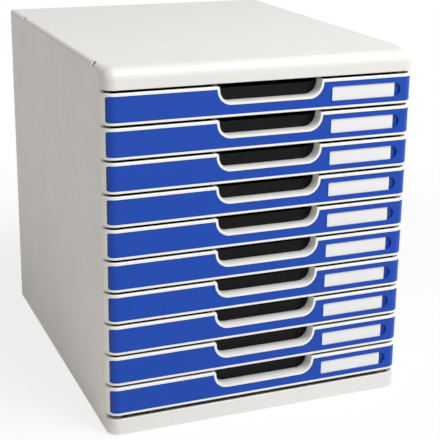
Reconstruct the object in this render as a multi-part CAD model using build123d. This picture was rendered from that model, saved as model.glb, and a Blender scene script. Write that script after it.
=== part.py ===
from build123d import *
import math
import os

# A desktop cabinet of ten shallow drawers for sheets, cards and stamps.
# Millimetres. Origin: middle of the base, on the surface the feet stand on.
# The drawer fronts face -Y, +Z is up, left and right are seen from the front.

# ---- driving dimensions -------------------------------------------------
case_width = 280.0
case_depth = 345.0
case_height = 320.0
drawer_count = 10

# case shell
foot_drop = 1.0             # how far the feet stand below the base
cover_thickness = 4.0       # top cover plate
base_thickness = 3.2        # bottom plate
side_skin = 3.0             # outer wall of a side panel
lip_height = 18.05          # front lip of the top cover, from the very top
plinth_height = 14.05       # front of the base
shell_wall = 3.0            # walls of the hollow lip and plinth
lip_end_wall = 6.0          # the lip's walls at both ends
front_corner = 10.0         # radius of the front corners, in plan and over the front lip
rear_corner = 3.4           # plan radius of the two rear corners
cover_edge = 4.0            # radius along the cover's other top edges
edge_run = 30.0             # where the side edges reach that radius, behind the front plane
seat_gap = 0.3              # closed front to the side panel's front edge
panel_gap = 0.1             # back panel to the parts round it

# side panels
rail_width = 14.0           # top and bottom rails, from the outside face
top_rail_height = 12.0
bottom_rail_height = 8.0
post_depth = 10.0           # rear post, along the case's depth
rear_rim = 3.6              # side panel beside the back panel
ledge_thickness = 1.8       # runner ledge under a tray's flange
keeper_reach = 6.0          # rib over the flange that stops a drawer tipping
keeper_thickness = 1.4
runner_gap = 2.2            # tray's front plate to the front end of the runners
stop_reach = 2.4            # stop block, inward from the skin
stop_length = 6.0

# back panel
back_thickness = 3.0
back_recess = 2.0
back_frame_inset = 24.0     # raised frame on its rear face
back_frame_width = 5.0
back_frame_height = 1.2

# stiffening ribs under the cover and on the base
rib_thickness = 2.0
rib_depth = 6.0
rib_count = 5

# edge pins, sunk in the four holes of the top cover
pin_radius = 2.6
pin_length = 13.1
pin_sink = 1.0              # pin head below the cover's surface
pin_front = 33.0            # front holes, behind the front plane
pin_rear = 62.0             # rear holes, ahead of the rear face
pin_clearance = 0.05
pin_mouth = 1.0             # chamfer round each hole

# screws
screw_radius = 1.5
screw_length = 9.0
screw_head_radius = 3.0
screw_head_height = 1.6
screw_slot_width = 0.8
screw_slot_depth = 0.7
screw_clearance = 0.1
screws_per_side = 3
screw_end_margin = 30.0
back_screw_edge = 3.45      # back screws to the side panel's rear rim

# feet
foot_radius = 8.0
foot_thickness = 2.0
foot_inset_x = 24.0
foot_inset_front = 24.0
foot_inset_rear = 30.0
foot_slack = 0.1

# drawer front
front_gap = 2.3             # dark line between two fronts
plinth_gap = 3.8            # the same between the lowest front and the plinth
front_thickness = 11.0
front_edge = 0.7            # rounding of the front's outer edges
rim_top = 2.4
rim_bottom = 2.1
rim_depth = 2.0             # top of the rim, front to back
rim_step = 1.3              # the first step down behind the rim
channel_depth = 4.0         # the second, to the floor of the channel
rim_cutout = 2.1            # light rim round the finger cut-out
front_wall = 2.0            # walls of the hollow front
pocket_inset = 7.5          # hollow of the front, from the outside face

# finger cut-out
cutout_shift = 4.0          # its middle, right of the case's middle
cutout_width = 93.2         # at the top
cutout_draft = 1.4          # how far each side leans in, top to bottom
cutout_depth = 13.8
cutout_corner = 11.0
cutout_mouth = 1.6          # rounding where it meets the top edge

# fascia
fascia_thickness = 2.6
fascia_setback = 0.25       # its face behind the rim's
fascia_wrap = 5.0           # how far it goes round each end
fascia_slack = 0.15         # groove round it
fascia_corner = 2.8
fascia_edge = 0.35

# label
label_width = 60.0
label_height = 13.9
label_thickness = 0.4
label_slack = 0.1
label_cover = 0.8           # what the slot's lips cover of each long edge
label_lip = 0.7             # thickness of those lips
label_inset = 19.0          # label's right end, from the case's right side
notch_radius = 5.8          # half-round thumb notch at the label's right end
relief_radius = 11.0        # shallow arc at its left end
relief_reach = 1.5          # how far that arc goes past the label
notch_depth = 2.0           # both, below the fascia's face

# tray
flange_reach = 8.2          # tray wall to the skin's inner face
tray_wall = 1.8
tray_floor = 1.6
tray_lift = 0.8             # tray bottom above the front's lower edge
tray_side_gap = 0.7         # tray wall to ledge tips and rear post
tray_rear_gap = 4.0         # tray to back panel
tray_edge = 3.0             # rounding along its bottom edges
flange_drop = 2.6           # flange top below the front's upper edge
flange_thickness = 1.6
flange_rear_gap = 2.5       # flange end to rear post
running_gap = 0.3           # flange to ledge and keeper
stop_gap = 0.6              # flange to stop block, sideways
lug_gap = 0.5               # stop lug to skin
lug_length = 12.0
runner_engagement = 72.5    # flange left in the runner when fully out
plate_margin = 0.8          # tray's front plate to the skin
grip_drop = 3.6             # plate's edge behind the cut-out, below the front's upper edge
grip_corner = 2.0
peg_radius = 2.0
peg_head = 0.6              # peg end inside the tray
peg_clearance = 0.1
peg_boss = 3.3
peg_inset = 22.0            # pegs from the case's outside faces
peg_drop = 7.5              # upper pegs, below the front's upper edge
peg_rise = 6.0              # lower pegs, above its lower edge

# ---- derived places -----------------------------------------------------
half_width = case_width / 2
front_y = -case_depth / 2
rear_y = case_depth / 2
corner = min(front_corner, front_thickness - front_edge)
front_back_y = front_y + front_thickness
bay_bottom = foot_drop + plinth_height
bay_top = case_height - lip_height
drawer_pitch = (bay_top - bay_bottom - plinth_gap) / drawer_count
front_height = drawer_pitch - front_gap
cover_seam = case_height - cover_thickness
base_top = foot_drop + base_thickness
side_front_y = front_back_y + seat_gap
skin_inside = half_width - side_skin
tray_half = skin_inside - flange_reach
inner_limit = tray_half + tray_side_gap
flange_half = skin_inside - stop_reach - stop_gap
lug_half = skin_inside - lug_gap
back_front_y = rear_y - back_recess - back_thickness
post_front_y = back_front_y - post_depth
tray_rear_y = back_front_y - tray_rear_gap
plate_back_y = front_back_y + tray_wall
runner_front_y = plate_back_y + runner_gap
flange_rear_y = post_front_y - flange_rear_gap
flange_top = front_height - flange_drop
flange_bottom = flange_top - flange_thickness
drawer_travel = flange_rear_y - runner_front_y - runner_engagement
lug_front_y = runner_front_y + stop_length + drawer_travel + running_gap
fascia_floor = fascia_setback + fascia_thickness
hollow_inset = fascia_floor + front_wall
label_y = front_y + fascia_setback + label_lip
label_middle_x = half_width - label_inset - label_width / 2
label_middle_z = (rim_bottom + front_height - rim_top) / 2
mirror_sides = (-1, 1)
same = 0.01                 # lengths closer than this are taken as equal
along_edge = (0.02, 0.5, 0.98)


def drawer_bottom(number):
    """Height of the lower edge of a drawer's front, counted from 1 at the top."""
    return bay_top - front_gap - front_height - (number - 1) * drawer_pitch


# ---- shared shapes --------------------------------------------------------
def block(x0, x1, y0, y1, z0, z1):
    """A box between two opposite corners."""
    middle = Pos((x0 + x1) / 2, (y0 + y1) / 2, (z0 + z1) / 2)
    return middle * Box(x1 - x0, y1 - y0, z1 - z0)


def rod(radius, start, direction, length):
    """A round bar from a point along a direction."""
    plane = Plane(origin=start, z_dir=direction)
    return extrude(plane * Circle(radius), amount=length)


def plan_outline(inset, back_y, rear_radius=0.0):
    """The case's outline from above, its front corners rounded, drawn inset."""
    depth = back_y - front_y - inset
    outline = Pos(0, front_y + inset + depth / 2) * Rectangle(case_width - 2 * inset, depth)
    corners = outline.vertices().sort_by(Axis.Y)
    outline = fillet(corners[:2], corner - inset)
    if rear_radius:
        outline = fillet(outline.vertices().sort_by(Axis.Y)[-2:], rear_radius)
    return outline


def seen_from_front(outline, y0, y1):
    """The solid with an outline drawn in X and Z, from depth y0 to y1."""
    return extrude(Plane.XZ.offset(-y1) * outline, amount=y1 - y0)


def seen_from_side(outline, x0, x1):
    """The solid with an outline drawn in Y and Z, from x0 to x1."""
    return extrude(Plane.YZ.offset(x0) * outline, amount=x1 - x0)


def cutout_outline(grow, shoulder, mouth=0.0):
    """The finger cut-out from the front, drawn larger by grow, open above the shoulder."""
    lean = cutout_draft / cutout_depth
    floor = front_height - cutout_depth - grow
    at_shoulder = cutout_width / 2 + grow - lean * (front_height - shoulder)
    at_floor = cutout_width / 2 + grow - lean * (front_height - floor)
    wide = at_shoulder + cutout_corner
    above = front_height + front_gap
    points = [(-wide, above), (-wide, shoulder), (-at_shoulder, shoulder), (-at_floor, floor)]
    points += [(-x, z) for x, z in reversed(points)]
    outline = make_face(Polyline(*points, close=True))
    outline = fillet(outline.vertices().sort_by(Axis.Y)[:2], cutout_corner + grow)
    if mouth:
        turns = [v for v in outline.vertices() if abs(abs(v.X) - at_shoulder) < same]
        outline = fillet(turns, mouth)
    return Pos(cutout_shift, 0) * outline


def soften(body, heights):
    """Rounds a front's outer edges at the given heights, but not its back."""
    def is_outer(edge):
        middle = edge @ 0.5
        level = abs((edge @ 0).Z - (edge @ 1).Z) < same
        at_height = any(abs(middle.Z - height) < same for height in heights)
        outside = abs(middle.Y - front_y) < same or abs(middle.X) > half_width - corner + same
        return level and at_height and outside and middle.Y < front_back_y - same
    return fillet([edge for edge in body.edges() if is_outer(edge)], front_edge)


def top_channel(top):
    """The stepped channel behind the rim along a front's top edge."""
    shallow, deep = [Pos(0, 0, top - depth) * extrude(plan_outline(inset, front_back_y), amount=depth)
                     for inset, depth in ((rim_depth, rim_step), (hollow_inset, channel_depth))]
    return shallow + deep


def screw(head_at, direction):
    """A slotted pan-head screw; head_at is the underside of its head."""
    axis = Vector(*direction)
    shank = rod(screw_radius, head_at, axis, screw_length)
    top = Vector(*head_at) - axis * screw_head_height
    head = rod(screw_head_radius, top, axis, screw_head_height)
    rim = [e for e in head.edges().filter_by(GeomType.CIRCLE) if (e.arc_center - top).length < same]
    head = chamfer(rim, screw_head_height / 4)
    slot = Plane(origin=top, z_dir=direction) * Box(
        4 * screw_head_radius, screw_slot_width, 2 * screw_slot_depth)
    return head + shank - slot


def spread(first, last, count):
    """Evenly spaced places from first to last."""
    return [first + (last - first) * i / (count - 1) for i in range(count)]


# ---- where the fasteners go ----------------------------------------------
def pin_mouths():
    """Middle of each pin hole on the cover's rounded edge, with its inward direction."""
    slope = math.sqrt(0.5)
    out = half_width - cover_edge * (1 - slope)
    up = case_height - cover_edge * (1 - slope)
    places = []
    for side in mirror_sides:
        for y in (front_y + pin_front, rear_y - pin_rear):
            places.append(((side * out, y, up), (-side * slope, 0, -slope)))
    return places


def base_screw_places():
    """Undersides of the base screws' heads, below the side panels' bottom rails."""
    z = foot_drop + screw_head_height + screw_clearance
    ys = spread(side_front_y + screw_end_margin, post_front_y - screw_end_margin, screws_per_side)
    return [(side * (half_width - rail_width / 2), y, z) for side in mirror_sides for y in ys]


def back_screw_places():
    """Undersides of the back screws' heads, over the rear posts."""
    x = half_width - rear_rim - back_screw_edge
    zs = spread(base_top + screw_end_margin, cover_seam - screw_end_margin, screws_per_side)
    return [(side * x, rear_y - back_recess, z) for side in mirror_sides for z in zs]


def foot_places():
    """Middles of the four feet."""
    x = half_width - foot_inset_x
    ys = (front_y + foot_inset_front, rear_y - foot_inset_rear)
    return [(side * x, y) for side in mirror_sides for y in ys]


def pin_holes():
    """The four slanting holes, each with a small chamfer at its mouth."""
    holes = []
    radius = pin_radius + pin_clearance
    for mouth, inward in pin_mouths():
        axis = Vector(*inward)
        outside = Vector(*mouth) - axis * pin_sink
        holes.append(rod(radius, outside, axis, 2 * pin_sink + pin_length))
        plane = Plane(origin=Vector(*mouth), z_dir=inward)
        holes.append(plane * Cone(radius + 2 * pin_mouth, radius, 2 * pin_mouth))
    return holes


def edge_section(radius):
    """A section of what rounds off an upper edge, drawn with that edge at the origin."""
    side, middle = radius + seat_gap, (seat_gap - radius) / 2
    return Pos(middle, middle) * Rectangle(side, side) - Pos(-radius, -radius) * Circle(radius)


def corner_cut(side):
    """What rounds off an upper front corner and eases it into the side edge behind it."""
    x, y, z = half_width - corner, front_y + corner, case_height - corner
    seam_away = Rot(0, 0, -45) * Rot(90, 0, 0) * Rot(0, 0, 180)
    cut = block(x, half_width + seat_gap, front_y - seat_gap, y, z, case_height + seat_gap)
    cut -= Pos(x, y, z) * seam_away * Sphere(corner)
    sections = [Plane.XZ.offset(-at) * Pos(half_width, case_height) * edge_section(radius)
                for at, radius in ((y, corner), (front_y + edge_run, cover_edge))]
    cut += loft(sections, ruled=True)
    return cut if side > 0 else mirror(cut, Plane.YZ)


# ---- the case ---------------------------------------------------------------
def make_cover():
    """Top cover: a plate with a hollow front lip, rounded over."""
    height = case_height - bay_top
    plan = plan_outline(0, rear_y, rear_corner)
    body = Pos(0, 0, bay_top) * extrude(plan, amount=height)
    face = Pos(0, bay_top + height / 2) * Rectangle(case_depth, height)
    face = fillet(face.vertices().group_by(Axis.Y)[-1].sort_by(Axis.X)[-1], cover_edge)
    body = body & seen_from_side(face, -half_width, half_width)
    nose = Pos(front_y, case_height) * mirror(edge_section(corner), Plane.YZ)
    body -= seen_from_side(nose, -half_width, half_width)
    end = Pos(0, bay_top + height / 2) * Rectangle(case_width, height)
    end = fillet(end.vertices().group_by(Axis.Y)[-1], cover_edge)
    body = body & seen_from_front(end, front_y, rear_y)
    for side in mirror_sides:
        body -= corner_cut(side)
    body -= block(-case_width, case_width, front_back_y, case_depth, 0, cover_seam)
    body = soften(body, (bay_top,))
    hollow_floor = bay_top + shell_wall
    hollow_height = cover_seam - hollow_floor
    hollow = extrude(plan_outline(shell_wall, front_back_y), amount=hollow_height)
    inner_nose = min(corner - cover_thickness, hollow_height - front_edge)
    section = Rectangle(2 * front_thickness, hollow_height)
    section = fillet(section.vertices().group_by(Axis.Y)[-1].sort_by(Axis.X)[0], inner_nose)
    section = Pos(front_y + shell_wall + front_thickness, hollow_floor + hollow_height / 2) * section
    end = half_width - lip_end_wall
    body -= Pos(0, 0, hollow_floor) * hollow & seen_from_side(section, -end, end)
    reach = half_width - rail_width - panel_gap
    for y in spread(front_back_y + screw_end_margin, back_front_y - screw_end_margin, rib_count):
        body += block(-reach, reach, y, y + rib_thickness, cover_seam - rib_depth, cover_seam)
    for hole in pin_holes():
        body -= hole
    return body


def make_base():
    """Bottom plate with the hollow plinth under the lowest drawer."""
    plan = plan_outline(0, rear_y, rear_corner)
    body = Pos(0, 0, foot_drop) * extrude(plan, amount=base_thickness)
    plinth_plan = plan_outline(0, front_back_y)
    body += Pos(0, 0, foot_drop) * extrude(plinth_plan, amount=plinth_height)
    inside = plan_outline(shell_wall, front_back_y)
    hollow_top = bay_bottom - channel_depth - shell_wall
    body -= Pos(0, 0, base_top) * extrude(inside, amount=hollow_top - base_top)
    body = soften(body, (foot_drop, bay_bottom))
    body -= top_channel(bay_bottom)
    reach = half_width - rail_width - panel_gap
    for y in spread(front_back_y + screw_end_margin, back_front_y - screw_end_margin, rib_count):
        body += block(-reach, reach, y, y + rib_thickness, base_top, base_top + rib_depth)
    for x, y, z in base_screw_places():
        body -= rod(screw_head_radius + screw_clearance, (x, y, 0), (0, 0, 1), z)
        body -= rod(screw_radius + screw_clearance, (x, y, 0), (0, 0, 1), screw_length)
    for x, y in foot_places():
        body -= rod(foot_radius + foot_slack, (x, y, 0), (0, 0, 1), foot_thickness)
    return body


def make_side(side):
    """A side panel: skin, rails, rear post, and ten runners with stop blocks."""
    def slab(depth_in, y0, y1, z0, z1, root=0.0):
        inner, outer = side * (half_width - depth_in), side * (half_width - root)
        return block(min(inner, outer), max(inner, outer), y0, y1, z0, z1)

    body = slab(side_skin, side_front_y, rear_y, base_top, cover_seam)
    body += slab(rear_rim, post_front_y, rear_y, base_top, cover_seam)
    body += slab(half_width - inner_limit, post_front_y, back_front_y - panel_gap, base_top, cover_seam)
    body += slab(rail_width, side_front_y, post_front_y, cover_seam - top_rail_height, cover_seam)
    body += slab(rail_width, side_front_y, post_front_y, base_top, base_top + bottom_rail_height)
    root = side_skin / 2
    for number in range(1, drawer_count + 1):
        bottom = drawer_bottom(number)
        ledge_top = bottom + flange_bottom - running_gap
        keeper_bottom = bottom + flange_top + running_gap
        body += slab(half_width - inner_limit, runner_front_y, post_front_y,
                     ledge_top - ledge_thickness, ledge_top, root)
        body += slab(side_skin + keeper_reach, runner_front_y, post_front_y,
                     keeper_bottom, keeper_bottom + keeper_thickness, root)
        body += slab(side_skin + stop_reach, runner_front_y, runner_front_y + stop_length,
                     ledge_top, keeper_bottom, root)
    rear_edge = [e for e in body.edges().filter_by(Axis.Z)
                 if abs(e.center().Y - rear_y) < same and abs(abs(e.center().X) - half_width) < same]
    body = fillet(rear_edge, rear_corner)
    body -= corner_cut(side)
    for hole in pin_holes():
        body -= hole
    for x, y, z in base_screw_places():
        body -= rod(screw_radius + pin_clearance, (x, y, 0), (0, 0, 1), z + screw_length + screw_clearance)
    for x, y, z in back_screw_places():
        body -= rod(screw_radius + pin_clearance, (x, y, z), (0, -1, 0), screw_length + screw_clearance)
    return body


def make_back():
    """The back panel, with a raised frame on its rear face."""
    reach = half_width - rear_rim - panel_gap
    low, high = base_top + panel_gap, cover_seam - panel_gap
    body = block(-reach, reach, back_front_y, back_front_y + back_thickness, low, high)
    rear = back_front_y + back_thickness
    outer, inner = back_frame_inset, back_frame_inset + back_frame_width
    frame = block(outer - reach, reach - outer, rear, rear + back_frame_height, low + outer, high - outer)
    frame -= block(inner - reach, reach - inner, rear, rear + back_frame_height, low + inner, high - inner)
    body += frame
    for x, y, z in back_screw_places():
        body -= rod(screw_radius + screw_clearance, (x, y, z), (0, -1, 0), back_thickness)
    return body


def make_pins():
    """Four plain pins in the cover's edge holes."""
    pins = []
    for mouth, inward in pin_mouths():
        head = Vector(*mouth) + Vector(*inward) * pin_sink
        pins.append(rod(pin_radius, head, inward, pin_length))
    return Compound(pins)


def make_base_screws():
    """Screws from below, through the base into the side panels."""
    return Compound([screw(place, (0, 0, 1)) for place in base_screw_places()])


def make_back_screws():
    """Screws through the back panel into the rear posts."""
    return Compound([screw(place, (0, -1, 0)) for place in back_screw_places()])


def make_feet():
    """Four round pads in the pockets of the base."""
    pads = []
    for x, y in foot_places():
        pad = rod(foot_radius, (x, y, 0), (0, 0, 1), foot_thickness)
        pads.append(chamfer(pad.edges().sort_by(Axis.Z)[:1], foot_drop / 2))
    return Compound(pads)


# ---- one drawer, with the lower edge of its front at height 0 ---------------
def window_outline(shrink):
    """The fascia's outline from the front, drawn smaller by shrink."""
    end = half_width - corner + math.sqrt(corner ** 2 - (corner - fascia_wrap) ** 2)
    low, high = rim_bottom + shrink, front_height - rim_top - shrink
    outline = Pos(0, (low + high) / 2) * Rectangle(2 * (end - shrink), high - low)
    outline = fillet(outline.vertices(), fascia_corner)
    return outline - cutout_outline(rim_cutout + shrink, high)


def front_band(inset_out, inset_in, wrap):
    """The layer between two insets of a front's outline, round both its ends."""
    layer = extrude(plan_outline(inset_out, front_back_y), amount=front_height)
    layer -= extrude(plan_outline(inset_in, front_back_y), amount=front_height)
    reach = front_thickness
    return layer & block(-case_width, case_width, front_y - reach, front_y + wrap, 0, front_height)


def peg_places():
    """Where the front's four pegs go through the tray's front plate."""
    x = half_width - peg_inset
    return [(side * x, z) for side in mirror_sides for z in (peg_rise, front_height - peg_drop)]


def make_front():
    """The light front: hollow behind, recessed for the fascia, notched for the fingers."""
    body = extrude(plan_outline(0, front_back_y), amount=front_height)
    body = soften(body, (0, front_height))
    recess = front_band(-front_edge, fascia_floor, fascia_wrap)
    body -= recess & seen_from_front(window_outline(0), front_y - front_edge, front_back_y)
    hollow_front = front_y + hollow_inset
    hollow_top = front_height - channel_depth - front_wall
    pocket = Pos(0, (front_wall + hollow_top) / 2) * Rectangle(
        2 * (half_width - pocket_inset), hollow_top - front_wall)
    pocket = fillet(pocket.vertices(), front_wall / 2)
    walled = cutout_outline(front_wall, front_height)
    body -= seen_from_front(pocket - walled, hollow_front, front_back_y)
    body -= top_channel(front_height) - seen_from_front(walled, front_y, front_back_y)
    body -= seen_from_front(cutout_outline(0, front_height, cutout_mouth), front_y - front_edge, front_back_y)
    for x, z in peg_places():
        start = (x, hollow_front - front_wall / 2, z)
        to_plate = front_back_y - start[1]
        body += rod(peg_boss, start, (0, 1, 0), to_plate)
        body += rod(peg_radius, start, (0, 1, 0), to_plate + tray_wall + peg_head)
    return body


def make_fascia():
    """The coloured strip in the front's recess, with the label slot and its two notches."""
    body = front_band(fascia_setback, fascia_floor, fascia_wrap - fascia_slack)
    body = body & seen_from_front(window_outline(fascia_slack), front_y, front_back_y)

    def on_face(point):
        if abs(point.X) <= half_width - corner:
            return abs(point.Y - front_y - fascia_setback) < same
        across = abs(point.X) - half_width + corner
        along = point.Y - front_y - corner
        return abs(math.hypot(across, along) - corner + fascia_setback) < same

    face_edges = [e for e in body.edges() if all(on_face(e @ t) for t in along_edge)]
    body = fillet(face_edges, fascia_edge)
    left, right = label_middle_x - label_width / 2, label_middle_x + label_width / 2
    half = label_height / 2
    window = half - label_cover
    slot_back = label_y + label_thickness
    body -= block(left - label_slack, right + label_slack, front_y, slot_back,
                  label_middle_z - window, label_middle_z + window)
    body -= block(left - label_slack, right + label_slack, label_y - label_slack, slot_back,
                  label_middle_z - half - label_slack, label_middle_z + half + label_slack)
    covered = block(left, right, front_y, front_back_y, 0, front_height)
    for x, radius in ((right, notch_radius), (left - relief_reach + relief_radius, relief_radius)):
        place = (x, front_y, label_middle_z)
        body -= rod(radius, place, (0, 1, 0), fascia_setback + notch_depth) - covered
    return body


def make_label():
    """The blank card in the slot."""
    left = label_middle_x - label_width / 2
    half = label_height / 2
    return block(left, left + label_width, label_y, label_y + label_thickness,
                 label_middle_z - half, label_middle_z + half)


def rear_and_bottom_edges(box, floor):
    """A tray box's edges at its rear corners and round its bottom, but not along the front."""
    low = [e for e in box.edges() if abs(e.center().Z - floor) < same and e.center().Y > front_back_y + same]
    return low + [e for e in box.edges().filter_by(Axis.Z) if e.center().Y > 0]


def make_tray():
    """The tray: a shallow box with a front plate, side flanges and stop lugs."""
    shell = block(-tray_half, tray_half, front_back_y, tray_rear_y, tray_lift, flange_top)
    shell = fillet(rear_and_bottom_edges(shell, tray_lift), tray_edge)
    inner = block(tray_wall - tray_half, tray_half - tray_wall, front_back_y,
                  tray_rear_y - tray_wall, tray_lift + tray_floor, flange_top + tray_wall)
    body = shell - fillet(rear_and_bottom_edges(inner, tray_lift + tray_floor), tray_edge - tray_wall)
    plate_half = skin_inside - plate_margin
    body += block(-plate_half, plate_half, front_back_y, plate_back_y, tray_lift, flange_top)
    grip = Pos(cutout_shift, front_height - grip_drop / 2) * Rectangle(
        cutout_width - cutout_corner, grip_drop)
    grip = fillet(grip.vertices().group_by(Axis.Y)[0], grip_corner)
    body -= seen_from_front(grip, front_y, plate_back_y)
    for side in mirror_sides:
        root = side * (tray_half - tray_wall / 2)
        for reach, y0, y1 in ((flange_half, front_back_y, flange_rear_y),
                              (lug_half, lug_front_y, lug_front_y + lug_length)):
            outer = side * reach
            body += block(min(root, outer), max(root, outer), y0, y1, flange_bottom, flange_top)
    for x, z in peg_places():
        body -= rod(peg_radius + peg_clearance, (x, front_y, z), (0, 1, 0), front_thickness + tray_wall)
    return body


# ---- write every piece ---------------------------------------------------
os.makedirs("parts", exist_ok=True)

case_pieces = {
    "case_top": make_cover(),
    "left_side_panel": make_side(-1),
    "right_side_panel": make_side(1),
    "case_base": make_base(),
    "back_panel": make_back(),
    "corner_pins": make_pins(),
    "base_screws": make_base_screws(),
    "back_screws": make_back_screws(),
    "rubber_feet": make_feet(),
}
drawer_pieces = {
    "front": make_front(),
    "fascia": make_fascia(),
    "label": make_label(),
    "tray": make_tray(),
}

for name, piece in case_pieces.items():
    export_step(piece, f"parts/{name}.step")
for number in range(1, drawer_count + 1):
    lift = Pos(0, 0, drawer_bottom(number))
    for name, piece in drawer_pieces.items():
        export_step(lift * piece, f"parts/drawer_{number:02d}_{name}.step")

print("drawer pitch", round(drawer_pitch, 3), "front height", round(front_height, 3))
print("drawer travel", round(drawer_travel, 2))
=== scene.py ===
import math

import bpy
from mathutils import Matrix, Vector


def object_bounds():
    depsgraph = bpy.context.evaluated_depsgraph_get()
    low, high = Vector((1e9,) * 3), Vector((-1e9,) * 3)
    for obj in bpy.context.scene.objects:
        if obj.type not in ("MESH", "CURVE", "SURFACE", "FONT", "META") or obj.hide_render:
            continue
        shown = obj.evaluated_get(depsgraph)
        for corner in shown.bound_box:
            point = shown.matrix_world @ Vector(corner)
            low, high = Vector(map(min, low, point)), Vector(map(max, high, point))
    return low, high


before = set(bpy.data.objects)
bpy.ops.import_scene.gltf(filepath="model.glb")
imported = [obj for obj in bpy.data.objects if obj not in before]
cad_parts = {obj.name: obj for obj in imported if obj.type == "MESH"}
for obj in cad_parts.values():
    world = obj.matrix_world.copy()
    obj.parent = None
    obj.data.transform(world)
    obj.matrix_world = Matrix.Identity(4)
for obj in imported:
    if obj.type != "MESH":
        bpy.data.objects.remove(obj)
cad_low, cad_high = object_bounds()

# The looks of a desktop cabinet of ten drawers: camera, soft studio light and the finish of each piece.
# Metres, in the same frame as the CAD model: +Z up, the drawer fronts face -Y.

# ---- camera -------------------------------------------------------------------
picture_side = 440               # pixels, both ways
camera_place = Vector((-0.3844, -1.0160, 0.4894))
camera_azimuth = -22.14          # degrees, 0 looks along +Y
camera_elevation = 16.95         # degrees that it looks down
camera_roll = 0.76
focal_pixels = 1141.3
picture_middle = (220.0, 190.0)  # pixel that the optical axis goes through
sensor_width = 36.0              # millimetres
clip_near, clip_far = 0.05, 100


def add_camera():
    """The photograph's viewpoint, with the small shift that its framing needs."""
    turn, tilt, roll = (math.radians(a) for a in (camera_azimuth, camera_elevation, camera_roll))
    forward = Vector((-math.sin(turn) * math.cos(tilt), math.cos(turn) * math.cos(tilt), -math.sin(tilt)))
    level_right = forward.cross(Vector((0, 0, 1))).normalized()
    level_up = level_right.cross(forward)
    right = math.cos(roll) * level_right + math.sin(roll) * level_up
    up = math.cos(roll) * level_up - math.sin(roll) * level_right
    data = bpy.data.cameras.new("camera")
    data.sensor_width = sensor_width
    data.lens = focal_pixels / picture_side * sensor_width
    data.shift_x = 0.5 - picture_middle[0] / picture_side
    data.shift_y = picture_middle[1] / picture_side - 0.5
    data.clip_start, data.clip_end = clip_near, clip_far
    camera = bpy.data.objects.new("camera", data)
    axes = Matrix((right, up, -forward)).transposed().to_4x4()
    camera.matrix_world = Matrix.Translation(camera_place) @ axes
    bpy.context.scene.collection.objects.link(camera)
    bpy.context.scene.camera = camera


# ---- colours ------------------------------------------------------------------
def linear(red, green, blue):
    """A colour given in screen values from 0 to 255, as Blender's linear colour."""
    channels = []
    for value in (red, green, blue):
        share = value / 255
        channels.append(share / 12.92 if share <= 0.04045 else ((share + 0.055) / 1.055) ** 2.4)
    return (*channels, 1.0)


def shade(colour, factor):
    """The same colour, lighter or darker."""
    return (*(min(1.0, channel * factor) for channel in colour[:3]), 1.0)


# ---- noise ----------------------------------------------------------------------
# Scales in cells per metre, and the bands that most of a noise's values lie in.
wide_band = (0.3, 0.7)
narrow_band = (0.35, 0.65)
dust_band = (0.4, 0.7)
noise_roughness = 0.55
cloud_cells = 9.0                # drift in the plastic's tone
wear_cells = 40.0                # more and less gloss
fibre_cells = 900.0
fibre_stretch = (1.0, 1.0, 3.0)
mottle_cells = 900.0
pit_cells = 1800.0
dust_cells = 150.0


# ---- node helpers ---------------------------------------------------------------
def start_material(name):
    """A new material, with its node tree and shader."""
    material = bpy.data.materials.new(name)
    material.use_nodes = True
    tree = material.node_tree
    return material, tree, tree.nodes["Principled BSDF"]


def add_node(tree, kind, **settings):
    """A node whose settings are its own properties, or its inputs where the name is an input's."""
    node = tree.nodes.new(kind)
    for name, value in settings.items():
        if name in node.inputs:
            node.inputs[name].default_value = value
        else:
            setattr(node, name, value)
    return node


def add_noise(tree, place, scale, detail=2.0, stretch=None):
    """Noise in the piece's own space, scale in cells per metre."""
    if stretch:
        mapping = add_node(tree, "ShaderNodeMapping", Scale=stretch)
        tree.links.new(place, mapping.inputs["Vector"])
        place = mapping.outputs["Vector"]
    noise = add_node(tree, "ShaderNodeTexNoise", Scale=scale, Detail=detail, Roughness=noise_roughness)
    tree.links.new(place, noise.inputs["Vector"])
    return noise.outputs["Fac"]


def add_range(tree, source, low, high, out_low, out_high):
    """Source from low to high, as out_low to out_high."""
    node = add_node(tree, "ShaderNodeMapRange")
    for name, value in zip(("From Min", "From Max", "To Min", "To Max"), (low, high, out_low, out_high)):
        node.inputs[name].default_value = value
    tree.links.new(source, node.inputs["Value"])
    return node.outputs["Result"]


def add_mix(tree, factor, first, second):
    """A colour between two, by factor; each is a colour or another node's output."""
    node = add_node(tree, "ShaderNodeMix", data_type="RGBA")
    tree.links.new(factor, node.inputs["Factor"])
    for name, value in (("A", first), ("B", second)):
        socket = next(s for s in node.inputs if s.name == name and s.type == "RGBA")
        if isinstance(value, tuple):
            socket.default_value = value
        else:
            tree.links.new(value, socket)
    return next(s for s in node.outputs if s.type == "RGBA")


def add_bump(tree, shader, height, distance):
    """Relief from a height, distance in metres."""
    node = add_node(tree, "ShaderNodeBump", Distance=distance, Strength=1.0)
    tree.links.new(height, node.inputs["Height"])
    tree.links.new(node.outputs["Normal"], shader.inputs["Normal"])


def object_place(tree):
    """Where a point is in its piece's own space."""
    return add_node(tree, "ShaderNodeTexCoord").outputs["Object"]


# ---- materials ------------------------------------------------------------------
least_gloss, most_gloss = 1.15, 0.88    # roughness of worn and polished patches, as shares of the plastic's
card_relief = 0.00004            # metres, like the next two
zinc_relief = 0.00002
rubber_relief = 0.00006
card_specular = 0.25


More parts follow.
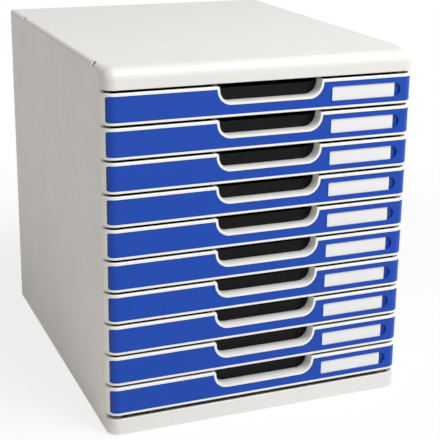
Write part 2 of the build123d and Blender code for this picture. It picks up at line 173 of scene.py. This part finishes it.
def moulded_plastic(name, colour, roughness, grain, grain_depth, specular=0.5, drift=0.02):
    """Injection-moulded plastic: a slight drift in tone, a fine grain and patches of other gloss."""
    material, tree, shader = start_material(name)
    place = object_place(tree)
    cloud = add_range(tree, add_noise(tree, place, cloud_cells, 3.0), *wide_band, 0.0, 1.0)
    tone = add_mix(tree, cloud, shade(colour, 1 - drift), shade(colour, 1 + drift))
    fleck = add_range(tree, add_noise(tree, place, grain / 3), *narrow_band, 0.0, 1.0)
    tree.links.new(add_mix(tree, fleck, tone, shade(colour, 1 - drift)), shader.inputs["Base Color"])
    worn = add_noise(tree, place, wear_cells, 4.0)
    gloss = add_range(tree, worn, *wide_band, roughness * most_gloss, roughness * least_gloss)
    tree.links.new(gloss, shader.inputs["Roughness"])
    add_bump(tree, shader, add_noise(tree, place, grain), grain_depth)
    shader.inputs["Specular IOR Level"].default_value = specular
    return material


def card(name, colour):
    """Uncoated white card, with fibres and a faint tooth."""
    material, tree, shader = start_material(name)
    place = object_place(tree)
    fibre = add_noise(tree, place, fibre_cells, 4.0, fibre_stretch)
    factor = add_range(tree, fibre, *narrow_band, 0.0, 1.0)
    tree.links.new(add_mix(tree, factor, shade(colour, 0.97), colour), shader.inputs["Base Color"])
    tree.links.new(add_range(tree, fibre, *wide_band, 0.8, 0.95), shader.inputs["Roughness"])
    add_bump(tree, shader, fibre, card_relief)
    shader.inputs["Specular IOR Level"].default_value = card_specular
    return material


def zinc(name):
    """Zinc-plated steel, with a fine mottle."""
    material, tree, shader = start_material(name)
    place = object_place(tree)
    mottle = add_noise(tree, place, mottle_cells, 3.0)
    colour = linear(186, 188, 190)
    factor = add_range(tree, mottle, *narrow_band, 0.0, 1.0)
    tree.links.new(add_mix(tree, factor, shade(colour, 0.82), colour), shader.inputs["Base Color"])
    tree.links.new(add_range(tree, mottle, *wide_band, 0.28, 0.42), shader.inputs["Roughness"])
    add_bump(tree, shader, mottle, zinc_relief)
    shader.inputs["Metallic"].default_value = 1.0
    return material


def rubber(name):
    """Matt black rubber with a pitted skin."""
    material, tree, shader = start_material(name)
    place = object_place(tree)
    pits = add_noise(tree, place, pit_cells, 3.0)
    dust = add_range(tree, add_noise(tree, place, dust_cells, 4.0), *dust_band, 0.0, 1.0)
    tree.links.new(add_mix(tree, dust, linear(28, 28, 29), linear(46, 45, 44)), shader.inputs["Base Color"])
    tree.links.new(add_range(tree, pits, *wide_band, 0.75, 0.95), shader.inputs["Roughness"])
    add_bump(tree, shader, pits, rubber_relief)
    return material


def finish_pieces():
    """Gives each CAD node the material of its slot."""
    by_slot = {
        "case_shell": moulded_plastic("case_shell", linear(224, 223, 219), 0.42, 1500.0, 0.00003),
        "drawer_front": moulded_plastic("drawer_front", linear(236, 236, 232), 0.32, 1800.0, 0.00002),
        "fascia": moulded_plastic("fascia", linear(20, 70, 172), 0.32, 1800.0, 0.00002, 0.2, 0.05),
        "label": card("label", linear(230, 230, 230)),
        "tray": moulded_plastic("tray", linear(19, 16, 20), 0.26, 1800.0, 0.00001, 0.13, 0.1),
        # the edge pins are near-black: painted shade that makes the holes they sit in read dark
        "edge_pin": moulded_plastic("edge_pin", linear(16, 16, 16), 0.5, 1500.0, 0.00003),
        "screw": zinc("screw"),
        "foot": rubber("foot"),
    }
    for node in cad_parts.values():
        for slot in node.material_slots:
            slot.material = by_slot[slot.material.name]


# ---- studio ---------------------------------------------------------------------
floor_half = 6.0
floor_drop = 0.0001              # floor below the feet
floor_colour = linear(243, 243, 243)
shadow_share = 0.2               # how much of the floor's own shading the camera sees near the object
shadow_near, shadow_far = 0.3, 0.8
sky_level = 0.23


def camera_like(tree):
    """1 for a ray from the camera, a mirror or a pane, else 0."""
    rays = add_node(tree, "ShaderNodeLightPath")
    total = rays.outputs["Is Camera Ray"]
    for name in ("Is Glossy Ray", "Is Transmission Ray"):
        sum_node = add_node(tree, "ShaderNodeMath", operation="MAXIMUM")
        tree.links.new(total, sum_node.inputs[0])
        tree.links.new(rays.outputs[name], sum_node.inputs[1])
        total = sum_node.outputs["Value"]
    return total


def add_world():
    """An even pale surround that shows white behind the object."""
    world = bpy.data.worlds.new("studio")
    world.use_nodes = True
    bpy.context.scene.world = world
    tree = world.node_tree
    light = tree.nodes["Background"]
    light.inputs["Color"].default_value = (1, 1, 1, 1)
    light.inputs["Strength"].default_value = sky_level
    white = add_node(tree, "ShaderNodeBackground", Color=(1, 1, 1, 1), Strength=1.0)
    mix = add_node(tree, "ShaderNodeMixShader")
    tree.links.new(camera_like(tree), mix.inputs["Fac"])
    tree.links.new(light.outputs["Background"], mix.inputs[1])
    tree.links.new(white.outputs["Background"], mix.inputs[2])
    tree.links.new(mix.outputs["Shader"], tree.nodes["World Output"].inputs["Surface"])


def add_floor():
    """A white floor that fades into the white surround and keeps a soft shadow near the object."""
    mesh = bpy.data.meshes.new("floor")
    corners = [(-floor_half, -floor_half, 0), (floor_half, -floor_half, 0),
               (floor_half, floor_half, 0), (-floor_half, floor_half, 0)]
    mesh.from_pydata(corners, [], [(0, 1, 2, 3)])
    floor = bpy.data.objects.new("floor", mesh)
    floor.location.z = -floor_drop
    bpy.context.scene.collection.objects.link(floor)
    material, tree, shader = start_material("floor")
    shader.inputs["Base Color"].default_value = floor_colour
    shader.inputs["Roughness"].default_value = 0.9
    shader.inputs["Specular IOR Level"].default_value = 0.0
    white = add_node(tree, "ShaderNodeEmission", Color=(1, 1, 1, 1), Strength=1.0)
    length = add_node(tree, "ShaderNodeVectorMath", operation="LENGTH")
    tree.links.new(object_place(tree), length.inputs[0])
    far = add_range(tree, length.outputs["Value"], shadow_near, shadow_far, 1 - shadow_share, 1.0)
    share = add_node(tree, "ShaderNodeMath", operation="MULTIPLY")
    tree.links.new(far, share.inputs[0])
    tree.links.new(camera_like(tree), share.inputs[1])
    mix = add_node(tree, "ShaderNodeMixShader")
    tree.links.new(share.outputs["Value"], mix.inputs["Fac"])
    tree.links.new(shader.outputs["BSDF"], mix.inputs[1])
    tree.links.new(white.outputs["Emission"], mix.inputs[2])
    tree.links.new(mix.outputs["Shader"], tree.nodes["Material Output"].inputs["Surface"])
    mesh.materials.append(material)


def add_lamp(name, place, size, level, colour=(1, 1, 1)):
    """A square soft lamp aimed at the object's middle.

    Level is how bright a white surface shows there when it faces the lamp, 1 for white.
    """
    aim = Vector((0, 0, (cad_low.z + cad_high.z) / 2))
    toward = aim - Vector(place)
    data = bpy.data.lights.new(name, "AREA")
    data.shape = "SQUARE"
    data.size = size
    data.energy = level * math.pi ** 2 * toward.length_squared
    data.color = colour
    lamp = bpy.data.objects.new(name, data)
    lamp.location = place
    lamp.rotation_euler = toward.to_track_quat("-Z", "Y").to_euler()
    bpy.context.scene.collection.objects.link(lamp)


add_camera()
finish_pieces()
add_world()
add_floor()
add_lamp("key_lamp", (0.75, -1.25, 2.05), 1.3, 0.95)
add_lamp("front_fill", (0.5, -2.2, 0.5), 1.0, 0.06)
add_lamp("left_fill", (-1.9, -0.4, 0.7), 1.2, 0.075, (1.0, 0.7, 0.42))
bpy.context.scene.view_settings.view_transform = "Standard"
